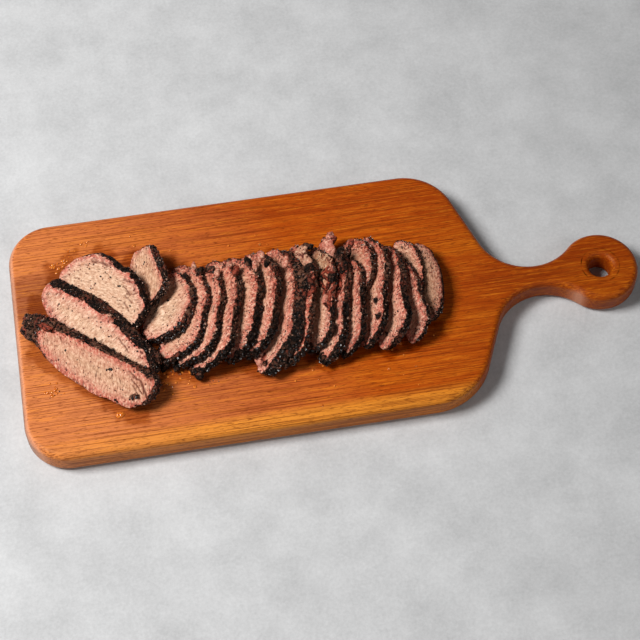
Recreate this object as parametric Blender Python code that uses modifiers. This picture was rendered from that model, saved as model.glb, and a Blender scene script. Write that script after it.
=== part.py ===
"""A row of smoked beef slices on a wooden board with a ring handle.

The board's length runs along X with the handle at +X, its width along Y, and it stands on Z = 0.
The origin is at the middle of its underside's box. Each slice is a plate with an oval outline, which
stands on the board along its heel and leans over to +X, or to +X +Y at the left end of the row.
"""

import math

import bmesh
import bpy
import numpy as np
from mathutils import Vector, noise

MM = 0.001

# ---- board, in millimetres ----
BOARD_LENGTH = 560.0  # from the plain end to the ring's outer edge
BOARD_WIDTH = 237.0
BOARD_THICK = 25.0
CORNER_RADIUS = 38.0  # the two corners of the plain end
EDGE_RADIUS = 6.0  # rounding along every rim, the hole's too
EDGE_STEPS = 3
RING_RADIUS = 34.5
HOLE_RADIUS = 10.0
HOLE_SIDES = 32
HANDLE_SHIFT = -6.4  # the handle sits this far off the middle, in Y
NECK_HALF_WIDTH = 11.1
NECK_RADIUS = 47.0  # the hollow curve on each side of the neck
# One shoulder on each side of the neck: its round corner, and how steeply it falls to the neck.
FAR_SHOULDER = {"side": 1, "radius": 48.0, "slope": 71.0}
NEAR_SHOULDER = {"side": -1, "radius": 59.0, "slope": 66.0}
ARC_STEP = 7.0  # degrees between two points of an arc

# ---- slices, in millimetres and degrees ----
GAP = 0.3  # between a slice and the board
OUTLINE_POINTS = 32
CUT_EDGE = 0.7  # how far the rim draws in where a cut face meets it
CRAG = 0.9  # relief of the crust
CRAG_PITCH = 9.0
DISH = 0.5  # how far a cut face sinks at its middle
INNER_SHARE = 0.55  # size of the ring of points inside a cut face
WAVE = 1.8  # sideways wave of the slices' upper edges, for 30 mm of height
WAVE_PITCH = 74.0
RIM_STATIONS = (0.0, 0.15, 0.5, 0.85, 1.0)  # from the back face to the front face

# x and y: the middle of the heel, where the back face meets the board. turn: the heel's direction,
# clockwise from +Y. skew: the crown's shift along the heel. heel: height of the ends, as a share.
# flare and slide: how far the back face reaches past the front face, upwards and at the far end.
SLICE_TABLE = (
    # x, y, length, height, lean, turn, thick, skew, heel, flare, slide
    (-225, -53, 122, 38, 26, -46, 8.0, -0.35, 0.56, 4, 24),
    (-221, -19, 131, 39, 26, -40, 7.5, -0.10, 0.55, 9, 0),
    (-215, 13, 90, 56, 26, -38, 7.5, 0.10, 0.40, 4, 0),
    (-170, 40, 62, 41, 45, 2, 6.0, -0.35, 0.35, 3, 0),
    (-162, 12, 68, 50, 32, 16, 6.3, -0.20, 0.35, 4, 0),
    (-148, 4, 97, 50, 33, 14, 5.6, -0.25, 0.25, 2, 0),
    (-134, -2, 99, 49, 34, 14, 6.6, -0.25, 0.25, 2, 0),
    (-119, -5, 110, 48, 35, 14, 7.3, -0.15, 0.25, 2, 0),
    (-98, -2, 101, 46, 36, 8, 8.0, 0.00, 0.25, 2, 0),
    (-80, -1, 104, 45, 36, 10, 8.6, -0.10, 0.25, 2, 0),
    (-62, -5, 116, 43, 37, 12, 8.2, -0.10, 0.25, 8, 0),
    (-43, -8, 117, 38, 39, 12, 6.5, 0.10, 0.25, 1, 0),
    (-24, -6, 100, 40, 42, 6, 5.0, 0.20, 0.25, 1, 0),
    (-12, -13, 110, 38, 42.5, 8, 7.0, 0.20, 0.25, 2, 0),
    (3, -17, 94, 38, 45, 5, 6.4, 0.20, 0.25, 1, 0),
    (15, 14, 72, 38, 46, 6, 5.0, 0.10, 0.25, 1, 0),
    (26, -4, 107, 38, 46, 9, 6.6, 0.00, 0.25, 1, 0),
    (42, -12, 104, 35.5, 44, 8, 7.4, -0.30, 0.25, 2, 0),
    (58, -20, 84, 31, 42, -1, 4.6, -0.25, 0.25, 1, 0),
    (65, 7, 74, 25, 36, -1, 4.4, 0.10, 0.25, 1, 0),
    (74.5, -2, 80, 30, 28, 0, 5.0, -0.05, 0.30, 1, 0),
)
COLUMNS = ("x", "y", "length", "height", "lean", "turn", "thick", "skew", "heel", "flare", "slide")

# Torn ends and lumps that stand out of a slice's outline: slice number, direction and half width in
# degrees round the outline (0 is the far end, 90 the crown, 180 the near end), and reach in millimetres.
LOBES = (
    (1, 138, 24, 7.0),
    (2, 20, 14, 2.5),
    (3, 150, 12, 3.0),
    (4, 30, 14, 3.0),
    (9, 172, 12, 3.0),
    (11, 178, 16, 8.0),
    (12, 10, 14, 4.0),
    (13, 24, 16, 4.0),
    (14, 5, 11, 14.0),
    (17, 176, 12, 3.0),
)


def clear_scene():
    for thing in list(bpy.data.objects):
        bpy.data.objects.remove(thing, do_unlink=True)


def new_collection(name):
    group = bpy.data.collections.new(name)
    bpy.context.scene.collection.children.link(group)
    return group


def make_material(name, colour, roughness, metallic=0.0):
    material = bpy.data.materials.new(name)
    material.use_nodes = True
    shader = material.node_tree.nodes["Principled BSDF"]
    shader.inputs["Base Color"].default_value = (*colour, 1.0)
    shader.inputs["Roughness"].default_value = roughness
    shader.inputs["Metallic"].default_value = metallic
    return material


def object_from_bmesh(name, mesh_work, group, materials):
    mesh = bpy.data.meshes.new(name)
    mesh_work.to_mesh(mesh)
    mesh_work.free()
    for material in materials:
        mesh.materials.append(material)
    thing = bpy.data.objects.new(name, mesh)
    group.objects.link(thing)
    return thing


# ---- board ----


def arc(centre, radius, start, end):
    """Points of an arc from one direction to another, in degrees, both ends included."""
    count = max(2, round(abs(end - start) / ARC_STEP) + 1)
    turns = np.radians(np.linspace(start, end, count))
    return np.array(centre) + radius * np.stack([np.cos(turns), np.sin(turns)], axis=1)


def handle_side(side, radius, slope):
    """One half of the outline, from the plain end to the ring's tip, seen with the handle to the right.

    The straight edge turns through the shoulder's round corner into a straight fall, then through the
    neck's hollow curve, and the ring follows on where the two circles touch.
    """
    fall = math.radians(slope)
    outward = np.array([math.sin(fall), math.cos(fall)])
    handle_y = side * HANDLE_SHIFT
    ring = np.array([BOARD_LENGTH / 2 - RING_RADIUS, handle_y])
    neck_y = handle_y + NECK_HALF_WIDTH + NECK_RADIUS
    touching = NECK_RADIUS + RING_RADIUS
    neck = np.array([ring[0] - math.sqrt(touching**2 - (neck_y - handle_y) ** 2), neck_y])
    shoulder_y = BOARD_WIDTH / 2 - radius
    rise = (neck[1] - shoulder_y) * outward[1]
    shoulder = np.array([neck[0] - (radius + NECK_RADIUS - rise) / outward[0], shoulder_y])
    corner = np.array([CORNER_RADIUS - BOARD_LENGTH / 2, BOARD_WIDTH / 2 - CORNER_RADIUS])
    touch = math.degrees(math.atan2(neck[1] - ring[1], neck[0] - ring[0]))
    return np.concatenate(
        [
            arc(corner, CORNER_RADIUS, 180, 90),
            arc(shoulder, radius, 90, 90 - slope),
            arc(neck, NECK_RADIUS, 270 - slope, 180 + touch),
            arc(ring, RING_RADIUS, touch, 0)[1:],
        ]
    )


def board_outline():
    far = handle_side(**FAR_SHOULDER)
    near = handle_side(**NEAR_SHOULDER)[::-1] * [1, -1]
    return np.concatenate([far, near[1:]])[::-1]


def make_hole_cutter(group):
    work = bmesh.new()
    bmesh.ops.create_cone(
        work,
        cap_ends=True,
        segments=HOLE_SIDES,
        radius1=HOLE_RADIUS * MM,
        radius2=HOLE_RADIUS * MM,
        depth=3 * BOARD_THICK * MM,
    )
    cutter = object_from_bmesh("hole_cutter", work, group, [])
    ring_x = BOARD_LENGTH / 2 - RING_RADIUS
    cutter.location = (ring_x * MM, HANDLE_SHIFT * MM, BOARD_THICK / 2 * MM)
    cutter.hide_render = True
    cutter.display_type = "WIRE"
    return cutter


def make_board(group, cutters, material):
    work = bmesh.new()
    corners = [work.verts.new((x * MM, y * MM, 0.0)) for x, y in board_outline()]
    underside = work.faces.new(corners)
    raised = bmesh.ops.extrude_face_region(work, geom=[underside])
    upper = [item for item in raised["geom"] if isinstance(item, bmesh.types.BMVert)]
    bmesh.ops.translate(work, verts=upper, vec=(0.0, 0.0, BOARD_THICK * MM))
    bmesh.ops.recalc_face_normals(work, faces=work.faces)
    board = object_from_bmesh("board", work, group, [material])

    cut = board.modifiers.new("handle hole", "BOOLEAN")
    cut.operation = "DIFFERENCE"
    cut.object = make_hole_cutter(cutters)
    rounding = board.modifiers.new("rounded rims", "BEVEL")
    rounding.width = EDGE_RADIUS * MM
    rounding.segments = EDGE_STEPS
    rounding.limit_method = "ANGLE"
    rounding.angle_limit = math.radians(50)
    return board


# ---- slices ----


def slice_outline(number, row):
    """The slice's outline in its own plane: distance along the heel, and height above it.

    An oval whose ends are at the heel's height. The crown is a half ellipse, the part below the ends is
    flatter, and the skew carries the crown along the heel. Each lobe then pushes its stretch outwards
    by a bell curve.
    """
    turn = np.linspace(0, 2 * np.pi, OUTLINE_POINTS, endpoint=False)
    cosine, sine = np.cos(turn), np.sin(turn)
    across = np.sign(cosine) * np.abs(cosine) ** 0.9
    base = row["heel"] * row["height"]
    crown = row["height"] - base
    below_power = 1.0 if row["heel"] > 0.5 else 0.77
    height = np.where(sine >= 0, base + crown * sine, base - base * np.abs(sine) ** below_power)
    lift = np.clip((height - base) / crown, 0, 1)
    along = row["length"] / 2 * (across + row["skew"] * lift * (1 - across**2))
    outline = np.stack([along, height], axis=1)
    for owner, direction, half_width, reach in LOBES:
        if owner == number:
            away = (np.degrees(turn) - direction + 180) % 360 - 180
            outline += outward_of(outline) * reach * np.exp(-((away / half_width) ** 2))[:, None]
    return outline


def outward_of(outline):
    """Unit normals of the outline, pointing out of it."""
    tangent = np.roll(outline, -1, axis=0) - np.roll(outline, 1, axis=0)
    normal = np.stack([tangent[:, 1], -tangent[:, 0]], axis=1)
    return normal / np.linalg.norm(normal, axis=1, keepdims=True)


def slice_axes(row):
    """The slice's directions: along its heel, up its face, and out of its front face."""
    lean, turn = math.radians(row["lean"]), math.radians(row["turn"])
    along = np.array([math.sin(turn), math.cos(turn), 0.0])
    forward = np.array([math.cos(turn), -math.sin(turn), 0.0])
    upright = np.array([0.0, 0.0, 1.0])
    up = forward * math.cos(lean) + upright * math.sin(lean)
    out = upright * math.cos(lean) - forward * math.sin(lean)
    return along, up, out


def crag(point):
    """Relief of the crust at a point in millimetres."""
    return CRAG * noise.noise(Vector(point) / CRAG_PITCH)


def slice_rings(number, row):
    """Rings of points from the back face's middle to the front face's middle, in millimetres."""
    along, up, out = slice_axes(row)
    outline = slice_outline(number, row)
    normal = outward_of(outline)
    middle = outline.mean(axis=0)
    foot = np.array([row["x"], row["y"], 0.0])
    thick = row["thick"]

    def place(flat, station, depth=0.0):
        """Points of the slice's plane at a share of its thickness, less a depth."""
        lean_back = 1 - station
        s = flat[:, :1] + row["slide"] * lean_back * (0.5 + flat[:, :1] / row["length"])
        r = flat[:, 1:] + row["flare"] * lean_back
        return foot + s * along + r * up + (station * thick + depth) * out

    rim = []
    for station in RIM_STATIONS:
        cut_edge = station in (0.0, 1.0)
        flat = outline - normal * (CUT_EDGE if cut_edge else 0.0)
        ring = place(flat, station)
        if not cut_edge:
            relief = np.array([crag(point) for point in ring])[:, None]
            ring += relief * (normal[:, :1] * along + normal[:, 1:] * up)
        rim.append(ring)
    inner = middle + (outline - middle) * INNER_SHARE
    back = [place(middle[None, :], 0.0, DISH), place(inner, 0.0, DISH / 2)]
    front = [place(inner, 1.0, -DISH / 2), place(middle[None, :], 1.0, -DISH)]
    rings = back + rim + front
    lowest = min(ring[:, 2].min() for ring in rings)
    for ring in rings:
        ring[:, 2] += BOARD_THICK + GAP - lowest
        height = (ring[:, 2] - BOARD_THICK) / 30.0
        ring[:, 0] += WAVE * height * np.sin(2 * np.pi * ring[:, 1] / WAVE_PITCH)
    return rings


def loft(rings):
    """A closed mesh through rings of equal count; the first and the last are single points."""
    work = bmesh.new()
    loops = [[work.verts.new(Vector(point) * MM) for point in ring] for ring in rings]
    count = OUTLINE_POINTS
    for first, second in zip(loops, loops[1:]):
        for i in range(count):
            j = (i + 1) % count
            if len(first) == 1:
                work.faces.new((first[0], second[j], second[i]))
            elif len(second) == 1:
                work.faces.new((first[i], first[j], second[0]))
            else:
                work.faces.new((first[i], first[j], second[j]))
                work.faces.new((first[i], second[j], second[i]))
    bmesh.ops.recalc_face_normals(work, faces=work.faces)
    return work


def make_slice(number, row, group, materials):
    rings = slice_rings(number, row)
    work = loft(rings)
    work.faces.ensure_lookup_table()
    cap_faces = 3 * OUTLINE_POINTS
    for face in work.faces:
        on_rim = cap_faces <= face.index < len(work.faces) - cap_faces
        face.material_index = 1 if on_rim else 0
    piece = object_from_bmesh(f"slice_{number:02d}", work, group, materials)
    piece.data.shade_smooth()
    piece.data.set_sharp_from_angle(angle=math.radians(40))
    return piece


def main():
    clear_scene()
    parts = new_collection("sliced_beef_on_board")
    cutters = new_collection("cutters")
    wood = make_material("oiled hardwood", (0.50, 0.17, 0.04), 0.45)
    meat = make_material("smoked beef, cut face", (0.50, 0.25, 0.18), 0.5)
    crust = make_material("smoked beef, dark crust", (0.02, 0.013, 0.011), 0.55)
    make_board(parts, cutters, wood)
    for number, values in enumerate(SLICE_TABLE, start=1):
        make_slice(number, dict(zip(COLUMNS, values)), parts, [meat, crust])


main()
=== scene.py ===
# %% [markdown]
# # Smoked beef slices on a paddle board
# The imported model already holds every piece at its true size: a wooden board and the slices that
# lie on it. This lesson dresses them. Each slice is made again with a crumbly crust, a pink smoke
# ring and a grainy cut face, the board gets rounded rims and oiled wood, and crumbs and juice are
# added.

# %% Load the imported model
import math

import bpy
import numpy as np
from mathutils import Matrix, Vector
from mathutils.geometry import delaunay_2d_cdt


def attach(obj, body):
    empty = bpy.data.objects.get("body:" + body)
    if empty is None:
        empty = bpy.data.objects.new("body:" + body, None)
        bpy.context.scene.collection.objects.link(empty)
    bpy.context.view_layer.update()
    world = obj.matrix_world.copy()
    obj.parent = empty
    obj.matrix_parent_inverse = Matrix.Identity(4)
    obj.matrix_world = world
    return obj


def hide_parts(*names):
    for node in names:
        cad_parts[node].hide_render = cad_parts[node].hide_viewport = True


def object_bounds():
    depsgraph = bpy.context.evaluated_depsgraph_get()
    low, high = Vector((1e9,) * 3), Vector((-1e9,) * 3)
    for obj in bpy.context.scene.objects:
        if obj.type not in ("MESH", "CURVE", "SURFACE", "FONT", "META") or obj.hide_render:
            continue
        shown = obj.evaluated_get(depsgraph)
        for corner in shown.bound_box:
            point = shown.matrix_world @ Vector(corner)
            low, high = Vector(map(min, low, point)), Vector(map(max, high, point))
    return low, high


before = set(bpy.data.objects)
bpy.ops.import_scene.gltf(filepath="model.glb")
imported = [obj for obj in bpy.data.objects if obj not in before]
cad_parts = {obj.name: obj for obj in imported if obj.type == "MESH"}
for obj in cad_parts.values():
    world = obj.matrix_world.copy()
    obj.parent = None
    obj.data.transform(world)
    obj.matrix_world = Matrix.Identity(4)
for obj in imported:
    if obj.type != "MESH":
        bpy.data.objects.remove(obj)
cad_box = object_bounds()
MM = 0.001
print("nodes:", len(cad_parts), "box:", [tuple(round(v, 3) for v in c) for c in cad_box])

# %% [markdown]
# ## Camera
# The photograph looks down on the board from its near side, about sixty degrees above the horizon
# and turned a little to the left. The camera stands 1.62 m from a point near the board's middle.

# %% Camera
AIM = Vector((-0.01025, -0.00707, 0.0))
CAMERA_DISTANCE = 1.62
CAMERA_RISE = math.radians(60.5)
CAMERA_TURN = math.radians(-9.5)
LENS = 101.25  # for a sensor 36 mm wide

camera = bpy.data.objects.new("camera", bpy.data.cameras.new("camera"))
bpy.context.scene.collection.objects.link(camera)
away = Vector((math.sin(CAMERA_TURN), -math.cos(CAMERA_TURN), 0.0)) * math.cos(CAMERA_RISE)
away.z = math.sin(CAMERA_RISE)
camera.location = AIM + away * CAMERA_DISTANCE
camera.rotation_mode = "QUATERNION"
camera.rotation_quaternion = (-away).to_track_quat("-Z", "Y")
camera.data.lens = LENS
camera.data.sensor_width = 36.0
camera.data.clip_start = 0.05
bpy.context.scene.camera = camera
print("camera at", tuple(round(v, 3) for v in camera.location))

# %% [markdown]
# ## Helpers for node materials
# Every finish here is a chain of small nodes. A signal is the output of one node, and signals are
# added and multiplied like numbers, so a finish reads like a formula. Patterns are measured in
# millimetres, so a pitch of 4 means features about 4 mm across on the real thing.

# %% Helpers for node materials


def start_material(name):
    material = bpy.data.materials.new(name)
    material.use_nodes = True
    return material, material.node_tree, material.node_tree.nodes["Principled BSDF"]


def connect(node, inputs):
    """Links each signal to its input of a node, and sets each plain value there."""
    for key, value in inputs.items():
        if isinstance(value, Signal):
            value.tree.links.new(value.socket, node.inputs[key])
        else:
            node.inputs[key].default_value = value


def put(kind, output, inputs, tree=None, **settings):
    """Adds a node to its inputs' tree, or to the one given, and gives one of its outputs."""
    tree = tree or next(value.tree for value in inputs.values() if isinstance(value, Signal))
    node = tree.nodes.new(kind)
    for key, value in settings.items():
        setattr(node, key, value)
    connect(node, inputs)
    return Signal(node, output)


class Signal:
    """One output of a node. Arithmetic with a number or another signal adds a node."""

    def __init__(self, node, output):
        self.node, self.tree, self.socket = node, node.id_data, node.outputs[output]

    def compute(self, operation, other=0.0):
        return put("ShaderNodeMath", 0, {0: self, 1: other}, operation=operation)

    def __add__(self, other):
        return self.compute("ADD", other)

    def __sub__(self, other):
        return self.compute("SUBTRACT", other)

    def __mul__(self, other):
        return self.compute("MULTIPLY", other)

    def __truediv__(self, other):
        return self.compute("DIVIDE", other)

    def spread(self, low, high, to_low=0.0, to_high=1.0, kind="LINEAR"):
        """Low becomes to_low, high becomes to_high, and what lies beyond them stays there."""
        ends = {"From Min": low, "From Max": high, "To Min": to_low, "To Max": to_high}
        return put("ShaderNodeMapRange", 0, {"Value": self} | ends, interpolation_type=kind)

    def ramp(self, *stops):
        """A colour ramp through (place, colour) stops."""
        made = put("ShaderNodeValToRGB", 0, {"Fac": self})
        line = made.node.color_ramp.elements
        while len(line) < len(stops):
            line.new(1.0)
        for element, (place, colour) in zip(line, stops):
            element.position = place
            element.color = (*colour, 1.0)
        return made


def field(tree, name, output="Fac"):
    return put("ShaderNodeAttribute", output, {}, tree, attribute_name=name)


def stretched(vector, stretch):
    return put("ShaderNodeMapping", 0, {"Vector": vector, "Scale": stretch})


def millimetres(tree):
    """Object coordinates in millimetres."""
    return stretched(put("ShaderNodeTexCoord", "Object", {}, tree), (1000.0, 1000.0, 1000.0))


def apart(vector):
    """A vector's three parts."""
    node = put("ShaderNodeSeparateXYZ", 0, {"Vector": vector}).node
    return [Signal(node, axis) for axis in range(3)]


def clouds(vector, pitch, detail=3.0, rough=0.55, twist=0.0):
    shape = {"Scale": 1.0 / pitch, "Detail": detail, "Roughness": rough, "Distortion": twist}
    return put("ShaderNodeTexNoise", 0, {"Vector": vector} | shape)


def cells(vector, pitch):
    """The distance to the nearest of many scattered points, and a number of that point's own."""
    near = put("ShaderNodeTexVoronoi", "Distance", {"Vector": vector, "Scale": 1.0 / pitch})
    return near, put("ShaderNodeSeparateColor", 0, {"Color": Signal(near.node, "Color")})


def blend(factor, first, second, mode="MIX"):
    """Mixes two colours, each a signal or three numbers."""
    first, second = (c if isinstance(c, Signal) else (*c, 1.0) for c in (first, second))
    parts = {0: factor, 6: first, 7: second}
    return put("ShaderNodeMix", 2, parts, data_type="RGBA", blend_type=mode)


def layered(colour, layers):
    """Lays each colour where its signal runs from low to high, as strongly as its amount."""
    for signal, low, high, amount, paint in layers:
        colour = blend(signal.spread(low, high, 0.0, amount), colour, paint)
    return colour


def blend_number(factor, first, second):
    return put("ShaderNodeMix", 0, {0: factor, 2: first, 3: second})


def bump(height, depth_mm, strength=1.0):
    inputs = {"Height": height, "Distance": depth_mm * MM, "Strength": strength}
    return put("ShaderNodeBump", 0, inputs)


# %% [markdown]
# ## Helpers for meshes worked out with numpy
# A new surface is a grid of points: one parameter runs round a closed outline, the other across
# it. Whole arrays are computed at once, and one call puts them into a mesh.

# %% Helpers for meshes
SOLIDS_TOP = cad_box[1][2] / MM
PROUD = 1.3  # mm that a crumb or a shred may stand over the solids


def ring_faces(rings, count, start=0):
    """Quads between neighbouring rings of a grid whose rings close on themselves."""
    ring = np.arange(rings - 1)[:, None] * count + start
    here = np.arange(count)[None, :]
    after = (here + 1) % count
    corners = [ring + here, ring + after, ring + count + after, ring + count + here]
    return np.stack(corners, axis=-1).reshape(-1, 4)


def pressed_under_top(points):
    """Lowers what stands a height h over the solids' top to PROUD tanh(h / PROUD) over it."""
    over = np.maximum(points[:, 2] - SOLIDS_TOP, 0.0)
    return points + np.outer(PROUD * np.tanh(over / PROUD) - over, [0.0, 0.0, 1.0])


def make_piece(name, points, faces, material, fields=None, smooth=True):
    """A mesh from points in millimetres, with a number or vector per point for each field."""
    points = pressed_under_top(points)
    mesh = bpy.data.meshes.new(name)
    mesh.from_pydata((points * MM).tolist(), [], [list(face) for face in faces])
    for title, values in (fields or {}).items():
        wide = values.ndim > 1
        layer = mesh.attributes.new(title, "FLOAT_VECTOR" if wide else "FLOAT", "POINT")
        layer.data.foreach_set("vector" if wide else "value", values.astype(np.float32).ravel())
    mesh.materials.append(material)
    if smooth:
        mesh.shade_smooth()
    piece = bpy.data.objects.new(name, mesh)
    bpy.context.scene.collection.objects.link(piece)
    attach(piece, "root")
    return piece


def hashed(i, j, k, seed):
    """A number from -1 to 1 for each cell: its three indices mixed by products and shifts."""
    mixed = (i * 73856093) ^ (j * 19349663) ^ (k * 83492791) ^ (seed * 40503551)
    mixed = (mixed ^ (mixed >> 13)) * 1274126177
    mixed = mixed ^ (mixed >> 16)
    return (mixed & 0xFFFF) / 32767.5 - 1.0


def soft_noise(points, pitch, seed=0):
    """Smooth noise from -1 to 1: hashed values at cell corners, blended by 3 t^2 - 2 t^3."""
    scaled = points / pitch
    cell = np.floor(scaled)
    part = scaled - cell
    part = part * part * (3.0 - 2.0 * part)
    i, j, k = (cell[..., axis].astype(np.int64) for axis in range(3))
    total = np.zeros(points.shape[:-1])
    for a, b, c in np.ndindex(2, 2, 2):
        near = np.abs(1 - a - part[..., 0]) * np.abs(1 - b - part[..., 1])
        total += near * np.abs(1 - c - part[..., 2]) * hashed(i + a, j + b, k + c, seed)
    return total


def part_way(values, start, end):
    """0 at the start, 1 at the end, and held beyond them."""
    return np.clip((values - start) / (end - start), 0, 1)


def rough_noise(points, pitch, octaves, seed=0):
    """Noise with finer and finer layers, each half as wide and half as strong as the last."""
    return sum(soft_noise(points, pitch / 2**n, seed + n) / 2**n for n in range(octaves))


def ball(falls, around):
    """Rings of points round a unit ball, each at its fall from the top, then both poles."""
    fall = falls[:, None]
    turn = np.linspace(0, 2 * np.pi, around, endpoint=False)
    rings = [np.sin(fall) * np.cos(turn), np.sin(fall) * np.sin(turn), np.cos(fall) + 0 * turn]
    return np.concatenate([np.stack(rings, axis=-1).reshape(-1, 3), [[0, 0, 1], [0, 0, -1]]])


def ball_faces(rings, around, copies):
    """Quads between a ball's rings and a fan of triangles at each pole, for each of its copies."""
    here = np.arange(around)
    after = (here + 1) % around
    top, last = rings * around, (rings - 1) * around
    one = ring_faces(rings, around)[:, ::-1].tolist()
    one += [[top, a, b] for a, b in zip(here, after)]
    one += [[top + 1, last + b, last + a] for a, b in zip(here, after)]
    starts = range(0, copies * (top + 2), top + 2)
    return [[start + corner for corner in face] for start in starts for face in one]


# %% [markdown]
# ## Board
# The real board is one plank of hardwood, sawn to a paddle shape with a ring to hang it by, and
# its rims are rounded with a router. The outline is arcs and straight lines that touch. The
# rounded rim is a profile carried along the outline, and again round the hole. The flat top
# between them is a net of triangles with a point every few millimetres, so that it can carry a map
# of where juice has run.

# %% Board outline
BOARD_LENGTH = 560.0
BOARD_WIDTH = 237.0
BOARD_THICK = 25.0
CORNER_RADIUS = 38.0
EDGE_RADIUS = 6.0
RING_RADIUS = 34.5
HOLE_RADIUS = 10.0
HANDLE_SHIFT = -6.4
NECK_HALF_WIDTH = 11.1
NECK_RADIUS = 47.0
FAR_SHOULDER = {"side": 1, "radius": 48.0, "slope": 71.0}
NEAR_SHOULDER = {"side": -1, "radius": 59.0, "slope": 66.0}
ARC_STEP = 2.5  # degrees between two points of an arc
STRAIGHT_STEP = 8.0  # mm between two points of a straight
RING_CENTRE = np.array([BOARD_LENGTH / 2 - RING_RADIUS, HANDLE_SHIFT])


def arc(centre, radius, start, end):
    """Points of an arc from one direction to another, in degrees, both ends included."""
    count = max(2, round(abs(end - start) / ARC_STEP) + 1)
    turns = np.radians(np.linspace(start, end, count))
    return np.array(centre) + radius * np.stack([np.cos(turns), np.sin(turns)], axis=1)


def handle_side(side, radius, slope):
    """Half the outline: corner and shoulder arcs, straight fall, the neck's hollow arc, ring."""
    fall = math.radians(slope)
    outward = np.array([math.sin(fall), math.cos(fall)])
    handle_y = side * HANDLE_SHIFT
    ring = np.array([RING_CENTRE[0], handle_y])
    neck_y = handle_y + NECK_HALF_WIDTH + NECK_RADIUS
    touching = NECK_RADIUS + RING_RADIUS
    neck = np.array([ring[0] - math.sqrt(touching**2 - (neck_y - handle_y) ** 2), neck_y])
    shoulder_y = BOARD_WIDTH / 2 - radius
    rise = (neck[1] - shoulder_y) * outward[1]
    shoulder = np.array([neck[0] - (radius + NECK_RADIUS - rise) / outward[0], shoulder_y])
    corner = np.array([CORNER_RADIUS - BOARD_LENGTH / 2, BOARD_WIDTH / 2 - CORNER_RADIUS])
    touch = math.degrees(math.atan2(neck[1] - ring[1], neck[0] - ring[0]))
    arcs = [
        arc(corner, CORNER_RADIUS, 180, 90),
        arc(shoulder, radius, 90, 90 - slope),
        arc(neck, NECK_RADIUS, 270 - slope, 180 + touch),
        arc(ring, RING_RADIUS, touch, 0)[1:],
    ]
    return np.concatenate(arcs)


def outward_of(outline):
    """Unit normals of a closed outline that runs anticlockwise, pointing out of it."""
    tangent = np.roll(outline, -1, axis=0) - np.roll(outline, 1, axis=0)
    normal = np.stack([tangent[:, 1], -tangent[:, 0]], axis=1)
    return normal / np.linalg.norm(normal, axis=1, keepdims=True)


def with_even_points(outline):
    """The outline with its long straight stretches divided."""
    after = np.roll(outline, -1, axis=0)
    parts = []
    for start, end in zip(outline, after):
        count = max(1, int(np.linalg.norm(end - start) // STRAIGHT_STEP))
        parts.append(start + (end - start) * np.arange(count)[:, None] / count)
    return np.concatenate(parts)


far_side = handle_side(**FAR_SHOULDER)
near_side = handle_side(**NEAR_SHOULDER)[::-1] * [1, -1]
board_outline = with_even_points(np.concatenate([far_side, near_side[1:-1]])[::-1])
print("board outline:", len(board_outline), "points")

# %% Slices: the same named sizes as the solids
GAP = 0.3
WAVE = 1.8
WAVE_PITCH = 74.0
# x, y: middle of the heel in mm. lean, turn: in degrees, the turn from +Y. skew: the crown's shift
# along the heel. heel: height of the widest place. Both are shares, of half the length and of the
# height. flare, slide: how far the back face reaches up and along past the front one, in mm.
COLUMNS = ("x", "y", "length", "height", "lean", "turn", "thick", "skew", "heel", "flare", "slide")
SLICE_TABLE = (
    (-225, -53, 122, 38, 26, -46, 8.0, -0.35, 0.56, 4, 24),
    (-221, -19, 131, 39, 26, -40, 7.5, -0.10, 0.55, 9, 0),
    (-215, 13, 90, 56, 26, -38, 7.5, 0.10, 0.40, 4, 0),
    (-170, 40, 62, 41, 45, 2, 6.0, -0.35, 0.35, 3, 0),
    (-162, 12, 68, 50, 32, 16, 6.3, -0.20, 0.35, 4, 0),
    (-148, 4, 97, 50, 33, 14, 5.6, -0.25, 0.25, 2, 0),
    (-134, -2, 99, 49, 34, 14, 6.6, -0.25, 0.25, 2, 0),
    (-119, -5, 110, 48, 35, 14, 7.3, -0.15, 0.25, 2, 0),
    (-98, -2, 101, 46, 36, 8, 8.0, 0.00, 0.25, 2, 0),
    (-80, -1, 104, 45, 36, 10, 8.6, -0.10, 0.25, 2, 0),
    (-62, -5, 116, 43, 37, 12, 8.2, -0.10, 0.25, 8, 0),
    (-43, -8, 117, 38, 39, 12, 6.5, 0.10, 0.25, 1, 0),
    (-24, -6, 100, 40, 42, 6, 5.0, 0.20, 0.25, 1, 0),
    (-12, -13, 110, 38, 42.5, 8, 7.0, 0.20, 0.25, 2, 0),
    (3, -17, 94, 38, 45, 5, 6.4, 0.20, 0.25, 1, 0),
    (15, 14, 72, 38, 46, 6, 5.0, 0.10, 0.25, 1, 0),
    (26, -4, 107, 38, 46, 9, 6.6, 0.00, 0.25, 1, 0),
    (42, -12, 104, 35.5, 44, 8, 7.4, -0.30, 0.25, 2, 0),
    (58, -20, 84, 31, 42, -1, 4.6, -0.25, 0.25, 1, 0),
    (65, 7, 74, 25, 36, -1, 4.4, 0.10, 0.25, 1, 0),
    (74.5, -2, 80, 30, 28, 0, 5.0, -0.05, 0.30, 1, 0),
)
SLICES = [dict(zip(COLUMNS, row)) for row in SLICE_TABLE]
ROW = range(5, len(SLICES) + 1)  # the numbers of the slices that lean in a row
# Torn ends: slice, direction and half width in degrees round the outline, reach in mm.
LOBES = (
    (1, 138, 24, 7), (2, 20, 14, 2.5), (3, 150, 12, 3), (4, 30, 14, 3), (9, 172, 12, 3),
    (11, 178, 16, 8), (12, 10, 14, 4), (13, 24, 16, 4), (14, 5, 11, 14), (17, 176, 12, 3),
)


def rows_of(table, number):
    """What a table says about one slice: the rest of each row that begins with its number."""
    return [row[1:] for row in table if row[0] == number]


def degrees_off(turns, direction):
    return (turns - direction + 180) % 360 - 180


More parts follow.
